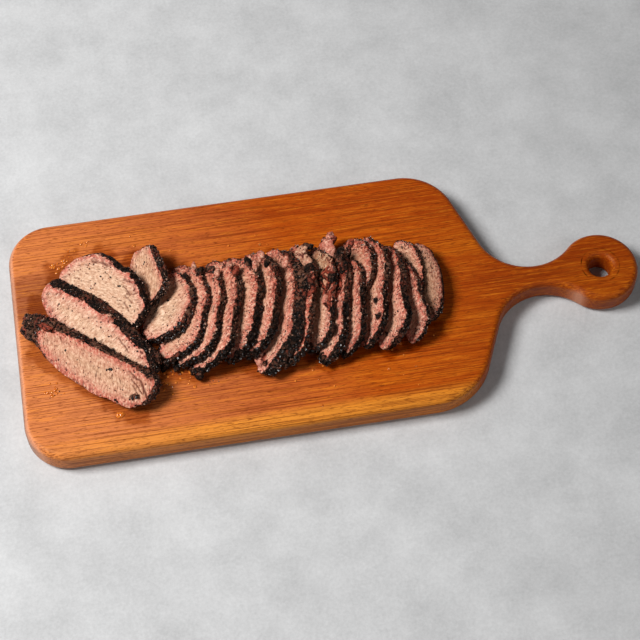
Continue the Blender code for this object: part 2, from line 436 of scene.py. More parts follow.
def slice_axes(row):
    """The slice's directions: along its heel, up its face, and out of its front face."""
    lean, turn = math.radians(row["lean"]), math.radians(row["turn"])
    along = np.array([math.sin(turn), math.cos(turn), 0.0])
    forward = np.array([math.cos(turn), -math.sin(turn), 0.0])
    upright = np.array([0.0, 0.0, 1.0])
    up = forward * math.cos(lean) + upright * math.sin(lean)
    out = upright * math.cos(lean) - forward * math.sin(lean)
    return along, up, out


print("slices:", len(SLICES))

# %% [markdown]
# ## Where juice has run
# Warm meat leaves a wet, darker border on the wood. The map is highest under and beside each
# slice's heel and fades over less than a finger's width. Noise breaks its edge into runs and
# islands. The noise's cells are turned out of line with the board, so that none of them shows as a
# square.

# %% Wetness of the board
WET_REACH = 7.5
FOOT_SHARE = 0.35  # of a slice's height: how far its foot reaches along its lean
EDGE_PITCH = 8.0  # mm between the edge's bays
EDGE_BREAK = 0.50
WET_SPOTS = (  # x, y, radius in mm: places the juice ran to
    (-240, 67, 14), (-229, 79, 12), (-243, 54, 9), (-196, 78, 14), (-262, 38, 9), (-158, -58, 13),
    (-197, -87, 5), (-138, 60, 12), (-140, -50, 10), (88, -46, 13), (-60, 50, 12), (10, 50, 10),
)


def wetness(points):
    """From 0 to 1: one less the distance to the nearest heel over the reach, roughened by noise."""
    flat = points[:, :2]
    nearest = np.full(len(points), np.inf)
    for row in SLICES:
        along, up, _ = slice_axes(row)
        foot = np.array([row["x"], row["y"]])
        s = np.clip((flat - foot) @ along[:2], -0.45 * row["length"], 0.45 * row["length"])
        heel = foot + up[:2] * row["height"] * FOOT_SHARE / 2 + s[:, None] * along[:2]
        nearest = np.minimum(nearest, np.linalg.norm(flat - heel, axis=1) - row["height"] * 0.2)
    wet = 1.0 - nearest / WET_REACH
    for x, y, radius in WET_SPOTS:
        wet = np.maximum(wet, 1.2 - np.linalg.norm(flat - [x, y], axis=1) / radius)
    turned = np.stack([flat @ [0.8, 0.6], flat @ [-0.6, 0.8], np.zeros(len(flat))], axis=1)
    return np.clip(wet + EDGE_BREAK * rough_noise(turned, EDGE_PITCH, 2, 5), 0.0, 1.0)


# %% [markdown]
# ## Oiled wood
# Long thin streaks run along the plank in broad bands of red-brown. The plank is golden towards
# its left end, partly its own colour and partly a painted sheen of the window, with one darker
# band, pale sapwood along its near edge that is painted brighter on the top and upper rounded rim
# than down the side as a painted highlight, and a handle darkened by painted shade where the
# window's light falls off. Over that lie light and dark flecks, fine dark growth lines and short
# pores, all of them noise squeezed hard across the grain. The left end shows sawn end grain, with a
# painted highlight along its rounded upper rim. Where the map says wet, the wood is darker, redder
# and glossier. Constant values sit on the shader itself.

# %% Oiled wood
GOLDEN_WOOD_AND_SHEEN = (0.64, 0.213, 0.070)
SAPWOOD_AND_RIM_HIGHLIGHT = (0.82, 0.32, 0.034)
DARK_BAND_DIMS = (0.56, 0.50, 0.58)
HANDLE_PAINTED_SHADE = (0.66, 0.61, 0.52)
JUICE_DIMS = (0.62, 0.47, 0.30)


def make_wood():
    material, tree, shader = start_material("oiled_hardwood")
    place = millimetres(tree)
    x, y, z = apart(place)
    from_left = x + y * 0.35
    bands = clouds(stretched(place, (0.12, 1.0, 0.6)), 34.0, 3.0, 0.50, 0.9)
    tone = bands.ramp(
        (0.32, (0.330, 0.045, 0.0022)),
        (0.46, (0.400, 0.062, 0.0028)),
        (0.57, (0.440, 0.076, 0.0032)),
        (0.70, (0.520, 0.112, 0.0044)),
    )
    # Golden towards the left end: partly the wood's own colour, partly a painted sheen of the
    # window.
    tone = blend(from_left.spread(-5.0, -260.0, 0.0, 0.80), tone, GOLDEN_WOOD_AND_SHEEN)
    dark_band = (y - 42.0).compute("ABSOLUTE").spread(32.0, 14.0) * from_left.spread(-150.0, -215.0)
    tone = blend(dark_band, tone, DARK_BAND_DIMS, "MULTIPLY")
    # Pale sapwood along the near edge, painted brighter on the top and upper rounded rim than down
    # the side as a painted highlight.
    sapwood_and_highlight = y.spread(-101.0, -110.0, 0.0, 0.62) * z.spread(12.0, 24.0, 0.60, 1.0)
    tone = blend(sapwood_and_highlight * x.spread(-260.0, -100.0, 0.3, 1.0), tone, SAPWOOD_AND_RIM_HIGHLIGHT)
    # Painted shade: the wood darkens towards the handle, where the window's light falls off.
    tone = blend(x.spread(60.0, 190.0, 0.0, 0.90), tone, HANDLE_PAINTED_SHADE, "MULTIPLY")

    flecks = clouds(stretched(place, (0.06, 1.0, 1.0)), 1.5, 4.0, 0.66, 0.2)
    lines = clouds(stretched(place, (0.008, 1.0, 1.0)), 1.0, 0.0, 0.5, 0.10)
    pores = clouds(stretched(place, (0.14, 1.0, 1.0)), 0.9, 2.0, 0.6)
    end = field(tree, "end_grain_and_rim_highlight")
    rings = clouds(stretched(place, (0.1, 0.22, 1.0)), 2.4, 2.0, 0.5, 0.5)
    sawn = (clouds(place, 0.9, 3.0, 0.7) * 0.55 + rings * 0.45).ramp(
        (0.40, (0.150, 0.060, 0.034)),
        (0.50, (0.310, 0.150, 0.100)),
        (0.62, (0.430, 0.235, 0.165)),
    )
    tone = layered(tone, (
        (flecks, 0.50, 0.70, 0.42, (0.78, 0.24, 0.012)),
        (flecks, 0.49, 0.32, 0.34, (0.200, 0.024, 0.0020)),
        (lines, 0.54, 0.66, 0.60, (0.16, 0.019, 0.0016)),
        (pores, 0.56, 0.66, 0.60, (0.12, 0.015, 0.0016)),
        # Painted highlight: a pale line where the left end's rounded upper rim leaves the top.
        (end, 0.02, 0.12, 0.45, (0.70, 0.36, 0.23)),
        (end, 0.12, 0.50, 0.90, sawn),
    ))
    wet = field(tree, "wet") * ((clouds(place, 3.0) - 0.5) * 0.9 + 1.0)
    soaked = wet.spread(0.0, 1.0, 0.0, 0.95, "SMOOTHSTEP")
    connect(shader, {
        "Base Color": blend(soaked, tone, JUICE_DIMS, "MULTIPLY"),
        "Roughness": flecks.spread(0.3, 0.7, 0.40, 0.50) - wet.spread(0.2, 0.8) * 0.26,
        "Normal": bump(flecks + lines + pores * 0.5, -0.16, 0.6),
        "Specular IOR Level": 0.22,
        "Specular Tint": (1.0, 0.70, 0.40, 1.0),
    })
    return material


wood = make_wood()

# %% Board mesh
RIM_STEPS = 8
FLAT_MARGIN = 1.5  # mm of flat beside each rounded rim, which keeps its shading level
TOP_PITCH = 2.6  # mm between the points that carry the wet map
HOLE_POINTS = 64
END_SHARPNESS = 5  # how fast end grain gives way to side grain round a corner


def rim_profile():
    """Inset and height round the upper rim, down the side and under the lower rim."""
    turn = np.linspace(0, math.pi / 2, RIM_STEPS + 1)
    upper_in = EDGE_RADIUS * (1 - np.sin(turn))
    upper_z = BOARD_THICK - EDGE_RADIUS * (1 - np.cos(turn))
    flat = EDGE_RADIUS + FLAT_MARGIN
    inset = np.concatenate([[flat], upper_in, upper_in[::-1], [flat]])
    height = np.concatenate([[BOARD_THICK], upper_z, BOARD_THICK - upper_z[::-1], [0.0]])
    return inset, height


def swept_rim(outline):
    """The rim's profile carried round an outline: each ring is moved inwards by its inset."""
    inset, height = rim_profile()
    flat = outline[None] - outward_of(outline)[None] * inset[:, None, None]
    z = np.broadcast_to(height[:, None, None], (*flat.shape[:2], 1))
    return np.concatenate([flat, z], axis=2)


def top_net(outer, inner):
    """Points in offset rows, inside the outer loop (an odd number of crossings), off the hole."""
    low, high = outer.min(axis=0), outer.max(axis=0)
    rows = np.meshgrid(*(np.arange(a, b, TOP_PITCH) for a, b in zip(low, high)))
    net = np.stack(rows, axis=-1).reshape(-1, 2)
    net[:, 0] += TOP_PITCH / 2 * (np.round(net[:, 1] / TOP_PITCH) % 2)
    after = np.roll(outer, -1, axis=0)
    run, rise = (after - outer).T
    crossing = (outer[:, 1] > net[:, 1:]) != (after[:, 1] > net[:, 1:])
    slope = run / np.where(rise == 0, 1e-9, rise)
    left_of = net[:, :1] < outer[:, 0] + slope * (net[:, 1:] - outer[:, 1])
    inside = (crossing & left_of).sum(axis=1) % 2 == 1
    gaps = np.linalg.norm(net[:, None] - np.concatenate([outer, inner])[None], axis=2).min(axis=1)
    return net[inside & off_hole(net, inner, 1.0) & (gaps > TOP_PITCH * 0.5)]


def off_hole(spots, inner, share):
    """Which spots lie further from the hole's middle than a share of its radius."""
    middle = inner.mean(axis=0)
    return np.linalg.norm(spots - middle, axis=1) > share * np.linalg.norm(inner[0] - middle)


def loop_edges(count, start):
    return [(start + i, start + (i + 1) % count) for i in range(count)]


def fill_flat(outer, inner, net):
    """Triangulates the flat between two loops through the net's points, without the hole."""
    spots = np.concatenate([outer, inner, net])
    edges = loop_edges(len(outer), 0) + loop_edges(len(inner), len(outer))
    _, _, triangles, origin, _, _ = delaunay_2d_cdt([Vector(p) for p in spots], edges, [], 1, 1e-5)
    first = np.array([ids[0] for ids in origin])
    faces = first[np.array([list(t) for t in triangles])]
    return faces[off_hole(spots[faces].mean(axis=1), inner, 0.97)]


def make_board():
    turns = np.linspace(0, 2 * np.pi, HOLE_POINTS, endpoint=False)
    hole = RING_CENTRE + HOLE_RADIUS * np.stack([np.cos(turns), -np.sin(turns)], axis=1)
    outer, inner = swept_rim(board_outline), swept_rim(hole)
    net = top_net(outer[0, :, :2], inner[0, :, :2])
    levels, n_out, n_in = len(outer), len(board_outline), len(hole)
    start_in = levels * n_out
    start_net = start_in + levels * n_in
    lifted = np.pad(net, ((0, 0), (0, 1)), constant_values=BOARD_THICK)
    points = np.concatenate([outer.reshape(-1, 3), inner.reshape(-1, 3), lifted])

    top = fill_flat(outer[0, :, :2], inner[0, :, :2], net)
    under = fill_flat(outer[-1, :, :2], inner[-1, :, :2], np.zeros((0, 2)))
    spots = np.arange(len(points))
    top_ids = np.concatenate([spots[:n_out], spots[start_in:][:n_in], spots[start_net:]])
    low_ids = np.concatenate([spots[start_in - n_out:start_in], spots[start_net - n_in:start_net]])
    sides = np.concatenate([ring_faces(levels, n_out), ring_faces(levels, n_in, start_in)])
    faces = sides[:, ::-1].tolist() + top_ids[top].tolist() + low_ids[under][:, ::-1].tolist()
    # Down the left end's rim: its first tenths carry a painted highlight, the rest sawn end grain.
    fall = part_way(outer[..., 2], BOARD_THICK, BOARD_THICK - EDGE_RADIUS)
    facing_left = np.clip(-outward_of(board_outline)[:, 0], 0, 1) ** END_SHARPNESS
    end_grain_and_rim_highlight = np.zeros(len(points))
    end_grain_and_rim_highlight[:start_in] = (fall * facing_left).ravel()
    wet = wetness(points) * (points[:, 2] > BOARD_THICK - EDGE_RADIUS)
    fields = {"wet": wet, "end_grain_and_rim_highlight": end_grain_and_rim_highlight}
    board = make_piece("plank", points, faces, wood, fields)
    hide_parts("board")
    print("board:", len(points), "points,", len(faces), "faces")


make_board()

# %% [markdown]
# ## A slice's surface
# A slice of roast meat is a plate with an oval outline. One parameter runs round the outline. The
# other starts at a line inside the back face, spreads to the back rim, crosses the crust, and
# closes in again on the front face. Both faces shrink towards a short spine and not to one point,
# so that the points stay evenly spaced. Noise moves the crust outwards in crumbs, and the cut
# faces get a shallow grain and a few cracks.
#
# Each point also stores how deep it lies under the crust. The finish reads that number, because
# the smoke ring is nothing but depth: smoke reaches only so far into the meat. A second field
# holds the point's place in the slice's own plane, turned along the meat's fibres. On edges
# without crust, and just round the front edges of the row, the depth is raised, so that flesh
# shows there. On a bare edge it is raised least towards the back face, which gives a dark
# red-brown strip there, partly a thin crust and partly painted contact shadow.

# %% Slice surface
# Edges without crust, where the roast was cut again: slice, direction, half width in degrees.
BARE = (
    (1, 262, 62), (2, -16, 48), (2, 300, 40), (2, 86, 6), (3, 25, 58), (3, 330, 40), (4, 300, 95),
    (5, 300, 60), (11, 196, 16), (18, 205, 42), (19, 200, 30), (21, 70, 60), (21, 330, 50),
)
AROUND = 400
BACK_RINGS = 12
RIM_RINGS = 15
FRONT_RINGS = 28
SPINE_SHRINK = 0.03
SPINE_END = 0.42  # of the height: how far the spine stops short of the slice's ends
CUT_EDGE = 0.8  # mm that the knife's edge is drawn in
CUT_EDGE_WIDTH = 1.6
CRUST_DEPTH = -1.5  # the depth field on the rim, which the finish reads as crust
CRUST_START = 1.2  # mm from a cut edge where the rim is all crust
DISH = 0.6  # mm that a cut face sinks at its middle
CRACK_DEPTH = 1.1
FLESH_WRAP = 2.4  # mm that a row slice's flesh seems to lie under the crust at its front edge
WRAP_WIDTH = 1.9  # mm from the front edge where that has faded
FIBRE_TURN = 0.9  # radians between one slice's fibres and the next


def slice_outline(number, row, count):
    """Half ellipse over the ends, a flatter curve below, a skewed crown, bell-shaped lobes."""
    turn = np.linspace(0, 2 * np.pi, count, endpoint=False)
    cosine, sine = np.cos(turn), np.sin(turn)
    across = np.sign(cosine) * np.abs(cosine) ** 0.9
    base = row["heel"] * row["height"]
    crown = row["height"] - base
    below_power = 1.0 if row["heel"] > 0.5 else 0.77
    height = np.where(sine >= 0, base + crown * sine, base - base * np.abs(sine) ** below_power)
    lift = part_way(height, base, row["height"])
    along = row["length"] / 2 * (across + row["skew"] * lift * (1 - across**2))
    outline = np.stack([along, height], axis=1)
    for direction, half_width, reach in rows_of(LOBES, number):
        bell = np.exp(-((degrees_off(np.degrees(turn), direction) / half_width) ** 2))
        outline += outward_of(outline) * reach * bell[:, None]
    return outline


def spine_of(outline, row):
    """For each outline point, its point on the spine: the mid height, as far along."""
    partner = np.roll(outline[::-1], 1, axis=0)
    middle = (outline + partner) / 2
    half = len(outline) // 2
    along, height = middle[half::-1, 0], middle[half::-1, 1]
    short = SPINE_END * row["height"]
    low, high = along.min() + short, along.max() - short
    if low >= high:
        low = high = (along.min() + along.max()) / 2
    s = np.clip(middle[:, 0], low, high)
    order = np.argsort(along)
    return np.stack([s, np.interp(s, along[order], height[order])], axis=1)


def depth_under(flat, outline):
    """Distance from each point of the slice's plane to the nearest point of its outline."""
    depth = np.empty(flat.shape[:-1])
    for ring, points in enumerate(flat):
        depth[ring] = np.linalg.norm(points[:, None] - outline[None, ::2], axis=2).min(axis=1)
    return depth


def bare_share(number):
    """For each step round the outline, 1 where the edge has no crust and 0 where it has."""
    turn = np.linspace(0, 360, AROUND, endpoint=False)
    share = np.zeros(AROUND)
    for direction, half_width in rows_of(BARE, number):
        share = np.maximum(share, np.exp(-((degrees_off(turn, direction) / half_width) ** 4)))
    return share


def crumbly(points, bare):
    """Crust relief in mm: broad waves, and round lumps with creases, smoother on bare edges."""
    lumps = 2.1 * np.abs(soft_noise(points, 3.6, 2)) - 1.05
    lumps += 1.3 * np.abs(soft_noise(points, 2.0, 3))
    broad = 1.1 * soft_noise(points, 9.0, 1) + 1.3 * soft_noise(points, 19.0, 15)
    return broad + (lumps + 0.25 * soft_noise(points, 1.0, 4)) * (1 - 0.7 * bare)


CUTS = (  # cracks in the cut faces: slice, from along and rise, to along and rise, half width in mm
    (1, -29, 33, -44, 31, 0.7), (1, -44, 31, -57, 23, 0.9), (1, -36, 28, -50, 24, 0.5),
    (1, -40, 24, -52, 19, 0.4), (2, -20, 31, -34, 27, 0.5), (3, 27, 45, 18, 50, 0.7),
    (3, 18, 50, 9, 54, 0.6), (3, -10, 44, -19, 42, 0.6), (3, -19, 42, -25, 47, 0.6),
    (3, -16, 38, -26, 37, 0.5), (3, -6, 49, -14, 50, 0.5), (3, -20, 33, -29, 30, 0.4),
    (18, -4, 24, -13, 18, 0.4), (18, 4, 26, -5, 19, 0.4),
)


def cut_depth(number, flat, points):
    """1 along each crack, 0 beyond its half width; noise bends the crack and breaks it."""
    total = np.zeros(flat.shape[:-1])
    bent = flat + 1.3 * soft_noise(points, 3.0, 17)[..., None]
    for *ends, half_width in rows_of(CUTS, number):
        start, end = np.reshape(ends, (2, 2))
        way = end - start
        share = np.clip((bent - start) @ way / (way @ way), 0, 1)
        off = np.linalg.norm(bent - start - share[..., None] * way, axis=-1)
        total = np.maximum(total, np.clip(1.6 - off / half_width, 0, 1))
    return total


def slice_grid(number, row):
    """Points of the slice, ring by ring, and everything that its finish and its crumbs need."""
    along, up, out = slice_axes(row)
    outline = slice_outline(number, row, AROUND)
    normal = outward_of(outline)
    spine = spine_of(outline, row)
    back = np.linspace(SPINE_SHRINK, 1.0, BACK_RINGS)[:-1]
    front = np.linspace(1.0, SPINE_SHRINK, FRONT_RINGS)[1:]
    share = np.concatenate([back, np.ones(RIM_RINGS), front])
    rim = (1 - np.cos(np.linspace(0, np.pi, RIM_RINGS))) / 2
    station = np.concatenate([np.zeros(len(back)), rim, np.ones(len(front))])
    on_rim = share >= 1.0

    edge = np.minimum(station, 1 - station) * row["thick"]
    inset = CUT_EDGE * np.where(on_rim, part_way(edge, CUT_EDGE_WIDTH, 0.0) ** 2, 1.0)
    flat = spine + (outline - spine - normal * inset[:, None, None]) * share[:, None, None]
    lean_back = (1 - station)[:, None]
    s = flat[..., 0] + row["slide"] * lean_back * (0.5 + flat[..., 0] / row["length"])
    r = flat[..., 1] + row["flare"] * lean_back
    foot = np.array([row["x"], row["y"], 0.0])
    layer = (station * row["thick"])[:, None]
    base = foot + s[..., None] * along + r[..., None] * up + layer[..., None] * out

    outward = normal[:, :1] * along + normal[:, 1:] * up
    fade = share[:, None] ** 10
    bare = bare_share(number)[None]
    points = base + outward[None] * (crumbly(base, bare) * fade)[..., None]
    facing = np.where(station < 0.5, -1.0, 1.0) * ~on_rim
    grain = 0.42 * soft_noise(base, 8.0, 6) + 0.25 * soft_noise(base, 2.6, 7)
    grain += 0.16 * soft_noise(base, 1.2, 8)
    relief = (-DISH * (1 - share**2))[:, None] + grain * (1 - 0.5 * fade)
    cut = cut_depth(number, flat, base) * (station > 0.5)[:, None] * ~on_rim[:, None]
    points += ((relief - CRACK_DEPTH * cut) * facing[:, None])[..., None] * out

    points[..., 2] += BOARD_THICK + GAP / 2 - points[..., 2].min()
    height = (points[..., 2] - BOARD_THICK) / 30.0
    points[..., 0] += WAVE * height * np.sin(2 * np.pi * points[..., 1] / WAVE_PITCH)
    points[..., 0] += 0.7 * np.clip(height, 0, 1) * soft_noise(points * [0, 1, 0.5], 13.0, 9)

    depth = depth_under(flat, outline)
    depth[on_rim] = CRUST_DEPTH * part_way(edge[on_rim], 0.0, CRUST_START)[:, None]
    if number in ROW:
        depth += FLESH_WRAP * part_way(layer, row["thick"] - WRAP_WIDTH, row["thick"])
    ragged = 0.8 * soft_noise(base, 5.0, 16) + 0.5 * soft_noise(base, 2.2, 18)
    bare = np.clip(1.5 * bare + ragged - 0.3, 0, 1) * (bare > 0.02)
    # Bare edges show flesh, kept dark red-brown towards the back face: partly a thin crust, partly
    # painted contact shadow.
    depth[on_rim] += (bare * (0.2 + 2.0 * station[:, None]))[on_rim]
    cosine, sine = math.cos(FIBRE_TURN * number), math.sin(FIBRE_TURN * number)
    fibre = np.empty(points.shape)
    fibre[..., :2] = flat @ [[cosine, -sine], [sine, cosine]]
    fibre[..., 2] = layer + 40.0 * number
    fields = {"depth": depth, "fibre": fibre, "cut": cut}
    return {"points": points, "fields": fields, "flat": flat, "share": share, "station": station,
            "outward": outward, "along": along, "up": up, "out": out, "bare": bare}


def slice_faces():
    """Quads between rings, and one ladder of quads across the spine at each end of the grid."""
    rings = BACK_RINGS - 1 + RIM_RINGS + FRONT_RINGS - 1
    faces = ring_faces(rings, AROUND)
    i = np.arange(AROUND // 2)
    ladder = np.stack([i, i + 1, (AROUND - i - 1) % AROUND, (AROUND - i) % AROUND], axis=1)
    last = (rings - 1) * AROUND
    quads = [list(dict.fromkeys(q)) for q in ladder.tolist()]
    closing = [q[::-1] for q in quads] + [[last + v for v in q] for q in quads]
    return faces.tolist() + closing


# %% [markdown]
# ## Places with a finish of their own
# A few spots differ from the rest: pale fat at two far ends, charred lumps, smears of red juice.
# Each is a round patch on one slice's face, given by its distance along the heel, its rise up the
# face and its radius. Noise makes their edges ragged.

# %% Patches
PATCHES = (  # slice, along, rise, radius in mm, kind
    (1, -46.5, 17, 3, "char"), (1, -49.5, 19.5, 2.2, "char"), (1, 62, 14, 5, "char"),
    (2, -23.5, 18.6, 2.6, "char"), (12, 46, 21, 13, "fat"), (13, 34, 26, 13, "fat"),
    (13, 36, 42, 5, "char"), (13, 10, 37, 7, "juice"), (13, -4, 33, 5, "juice"),
    (14, 20, 28, 9, "juice"), (14, 42, 30, 8, "char"), (17, -17.5, 28, 3.2, "char"),
    (17, -33.5, 28, 3.2, "char"), (11, -48, 6, 8, "juice"),
)
KINDS = ("fat", "char", "juice")


def patch_fields(number, flat, points, station):
    """For each kind, 1 at a patch's middle falling to 0 at its edge, roughened by noise."""
    fields = {kind: np.zeros(flat.shape[:-1]) for kind in KINDS}
    rough = 0.35 * soft_noise(points, 2.6, 11) + 0.2 * soft_noise(points, 1.2, 12)
    on_front = (station > 0.5)[:, None]
    for along, rise, radius, kind in rows_of(PATCHES, number):
        away_by = np.linalg.norm(flat - [along, rise], axis=-1) / radius
        spot = np.clip((1.15 - away_by + rough) * 3.0, 0, 1) * on_front
        fields[kind] = np.maximum(fields[kind], spot)
    return fields


# A slice's tone, which is also painted shade on it (0.5 turns the meat orange-beige, 1 paints it a
# shaded brown), how far its smoke ring reaches and how brown, not black, its crust is. Slices that
# aren't named look like the row.
LOOKS = {
    1: (0.34, 1.3, 0.75), 2: (0.05, 1.1, 0.40), 3: (0.05, 0.75, 0.25), 4: (0.30, 0.7, 0.4),
    5: (0.0, 1.3, 0.3), 12: (0.30, 2.6, 0.7), 13: (0.10, 1.6, 0.6), 16: (0.20, 2.6, 0.4),
    17: (0.10, 2.3, 0.3), 20: (0.40, 1.2, 0.4), 21: (0.72, 1.0, 0.5),
}
ROW_LOOK = (0.10, 2.2, 0.35)
# The far halves of these slices get painted shade, as well as a browner crust and more mess.
SHADED = range(5, 20)  # slices whose far halves are darker, browner and messier
# Up to which slice, and by how many mm, the crust bites into the cut face at the near and far end.
NEAR_BITE = ((4, 3.4), (14, 5.2), (17, 3.4), (21, 0.8))
FAR_BITE = ((5, 0.3), (8, 3.4), (12, 3.0), (21, 2.0))


def up_to(steps, number):
    """The value of the first step that reaches a slice's number."""
    return next(value for last, value in steps if number <= last)


def look_fields(number, row, flat, points, bare, depth):
    """Per point: tone with painted shade, smoke reach, mess, brownness, and how deep the crust
    bites in.
    """
    tone, reach, roast = LOOKS.get(number, ROW_LOOK)
    shaded = float(number in SHADED)
    end = flat[..., 0] / (row["length"] / 2)
    roast = roast + shaded * 0.75 * part_way(points[..., 1], -30.0, 15.0)
    near_end = up_to(NEAR_BITE, number) * part_way(end, -0.5, -0.85)
    far_end = up_to(FAR_BITE, number) * part_way(end, 0.35, 0.75)
    patchy = 0.75 + 0.9 * soft_noise(points, 5.0, 14)
    far_half = shaded * part_way(end, -0.35, 0.75)
    inner = shaded * (number > 5) * part_way(depth, 7.0, 15.0)
    return {
        # Painted shade: darker far halves, and darker deep middles of the row's faces beside the
        # slice leaning over them.
        "tone": tone + 0.30 * far_half + 0.25 * inner,
        "reach": reach + 0 * end,
        "mess": (0.7 if number > 5 else 0.55) + 0.7 * far_half,
        "roast": np.clip(roast + 0.35 * soft_noise(points, 14.0, 13), 0, 1),
        "bite": (0.3 + np.clip((near_end + far_end + 0.4) * patchy, 0, 9)) * (1 - bare),
    }


# %% [markdown]
# ## Smoked beef
# From the outside in: a nearly black crust of burnt fat, salt and pepper; a red-brown line; the
# rosy smoke ring; and cooked meat, beige with a pink cast. The depth field picks the colour, with
# noise added so that no border is a clean line. The cut face shows short gaps between bundles of
# fibre, small pits, and specks of pepper dragged over it by the knife.

# %% Smoked beef
CRUST_BLACK = (0.0036, 0.0026, 0.0024)
CRUST_DARK_BROWN = (0.042, 0.018, 0.0105)
CRUST_BROWN = (0.170, 0.074, 0.045)
CRUST_RED = (0.220, 0.046, 0.026)
CRUST_SALT_AND_GLINT = (0.42, 0.31, 0.24)
SMEAR = (0.085, 0.015, 0.010)
DEPTH_SPAN = 14.0  # mm under the crust, with a reach of 1, where the meat is its palest


def make_flesh(tree, place, depth, grit, mottle, gaps):
    """Smoke ring and pale meat by depth, painted shade by tone, fibres with painted highlights,
    cracks, fat, juice, flecks and smears.
    """
    ragged = (clouds(place, 2.6, 4.0, 0.66) - 0.5) * 4.6
    wide = (clouds(place, 17.0, 2.0, 0.5) - 0.5) * 5.0
    smoked = (depth + ragged + wide).compute("MAXIMUM", 0.0) / field(tree, "reach")
    flesh = (smoked / DEPTH_SPAN).ramp(
        (0.00, (0.120, 0.015, 0.009)),
        (0.05, (0.330, 0.045, 0.029)),
        (0.12, (0.545, 0.115, 0.080)),
        (0.26, (0.600, 0.190, 0.136)),
        (0.42, (0.600, 0.285, 0.195)),
        (1.00, (0.590, 0.352, 0.226)),
    )
    flesh = layered(flesh, (
        (mottle, 0.50, 0.70, 0.60, (0.68, 0.45, 0.30)),
        (mottle, 0.47, 0.28, 0.70, (0.42, 0.170, 0.080)),
        # Pale grit: partly the grain's own colour, partly a painted highlight of moist fibres.
        (grit, 0.50, 0.66, 0.75, (0.88, 0.63, 0.46)),
        (grit, 0.48, 0.32, 0.80, (0.225, 0.090, 0.052)),
        (gaps, 0.0, 1.0, 0.75, (0.15, 0.048, 0.028)),
        (field(tree, "cut"), 0.0, 1.0, 0.85, (0.11, 0.024, 0.014)),
    ))
    # Painted shade: the tone field darkens the meat towards a shaded brown.
    tone_and_painted_shade = field(tree, "tone").ramp(
        (0.0, (1.0, 1.0, 1.0)), (0.5, (0.84, 0.73, 0.66)), (1.0, (0.34, 0.27, 0.25))
    )
    flesh = blend(1.0, flesh, tone_and_painted_shade, "MULTIPLY")
    fat_colour = mottle.ramp((0.44, (0.26, 0.115, 0.055)), (0.56, (0.54, 0.34, 0.205)))
    juice_colour = grit.ramp((0.40, (0.040, 0.007, 0.004)), (0.60, (0.330, 0.052, 0.026)))

    mess = field(tree, "mess")
    near, own = cells(place, 3.4)
    size = clouds(place, 8.0, 2.0, 0.5).spread(0.36, 0.7, 0.03, 0.26)
    flecks = near.compute("LESS_THAN", size + mess * depth.spread(16.0, 3.0, 0.02, 0.15))
    fleck_colour = own.ramp((0.3, (0.030, 0.010, 0.007)), (0.6, (0.150, 0.022, 0.013)))
    smear = clouds(place, 4.0, 4.0, 0.70, 0.6).spread(0.51, 0.56, 0.0, 0.9)
    smear *= depth.spread(12.0, 3.0) * clouds(place, 12.0, 2.0).spread(0.38, 0.54, 0.25, 1.0)
    return layered(flesh, (
        (field(tree, "fat"), 0.0, 1.0, 0.70, fat_colour),
        (field(tree, "juice"), 0.0, 1.0, 0.95, juice_colour),
        (flecks, 0.0, 1.0, 0.90, fleck_colour),
        (smear * mess, 0.0, 1.0, 1.00, SMEAR),
    ))


def make_crust(tree, place, crumb):
    """Black and brown crumbs, toasted lighter where the roast field is high, and pale specks of
    salt that double as painted glints.
    """
    broad = clouds(place, 8.0, 3.0, 0.6)
    brown = blend(broad.spread(0.50, 0.60), CRUST_BROWN, CRUST_RED)
    crust = blend(crumb.spread(0.50, 0.66), CRUST_BLACK, CRUST_DARK_BROWN)
    toasted = blend(crumb.spread(0.46, 0.55), CRUST_BLACK, brown)
    crust = blend((field(tree, "roast") + (broad - 0.5)).spread(0.35, 0.80), crust, toasted)
    # Pale specks: salt, and painted glints of the crust's sheen.
    near, own = cells(place, 1.7)
    salt_and_glint_specks = near.compute("LESS_THAN", clouds(place, 3.2, 3.0, 0.6).spread(0.44, 0.66, 0.0, 0.33))
    salt_and_glint_colour = own.ramp((0.0, CRUST_BROWN), (0.6, CRUST_RED), (1.0, CRUST_SALT_AND_GLINT))
    return blend(salt_and_glint_specks * 0.85, crust, salt_and_glint_colour)


def make_beef():
    material, tree, shader = start_material("smoked_beef")
    place = millimetres(tree)
    fibre = field(tree, "fibre", "Vector")
    depth = field(tree, "depth")
    mottle = clouds(place, 5.0, 4.0, 0.66, 0.3)
    grit = clouds(stretched(fibre, (0.55, 1.0, 1.0)), 1.7, 4.0, 0.7)
    gaps = clouds(stretched(fibre, (0.30, 1.0, 1.0)), 2.1, 3.0, 0.6).spread(0.38, 0.31)
    crumb = clouds(place, 2.6, 4.0, 0.66)
    edge = depth + (clouds(place, 2.3, 3.0, 0.64) - 0.5) * 6.0 - field(tree, "bite")
    skin = edge.spread(0.25, -0.25).compute("MAXIMUM", field(tree, "char"))
    flesh = make_flesh(tree, place, depth, grit, mottle, gaps)
    moist = mottle.spread(0.3, 0.7, 0.28, 0.50)
    gloss = clouds(place, 2.4, 3.0, 0.6).spread(0.44, 0.54, 0.15, 0.60)
    relief = blend_number(skin, grit * 0.9 - gaps * 0.5, crumb * 4.0)
    connect(shader, {
        "Base Color": blend(skin, flesh, make_crust(tree, place, crumb)),
        "Roughness": blend_number(skin, moist, gloss),
        "Normal": bump(relief, 0.7),
        "Specular IOR Level": 0.10,
        "Specular Tint": (1.0, 0.90, 0.82, 1.0),
    })
    return material


beef = make_beef()

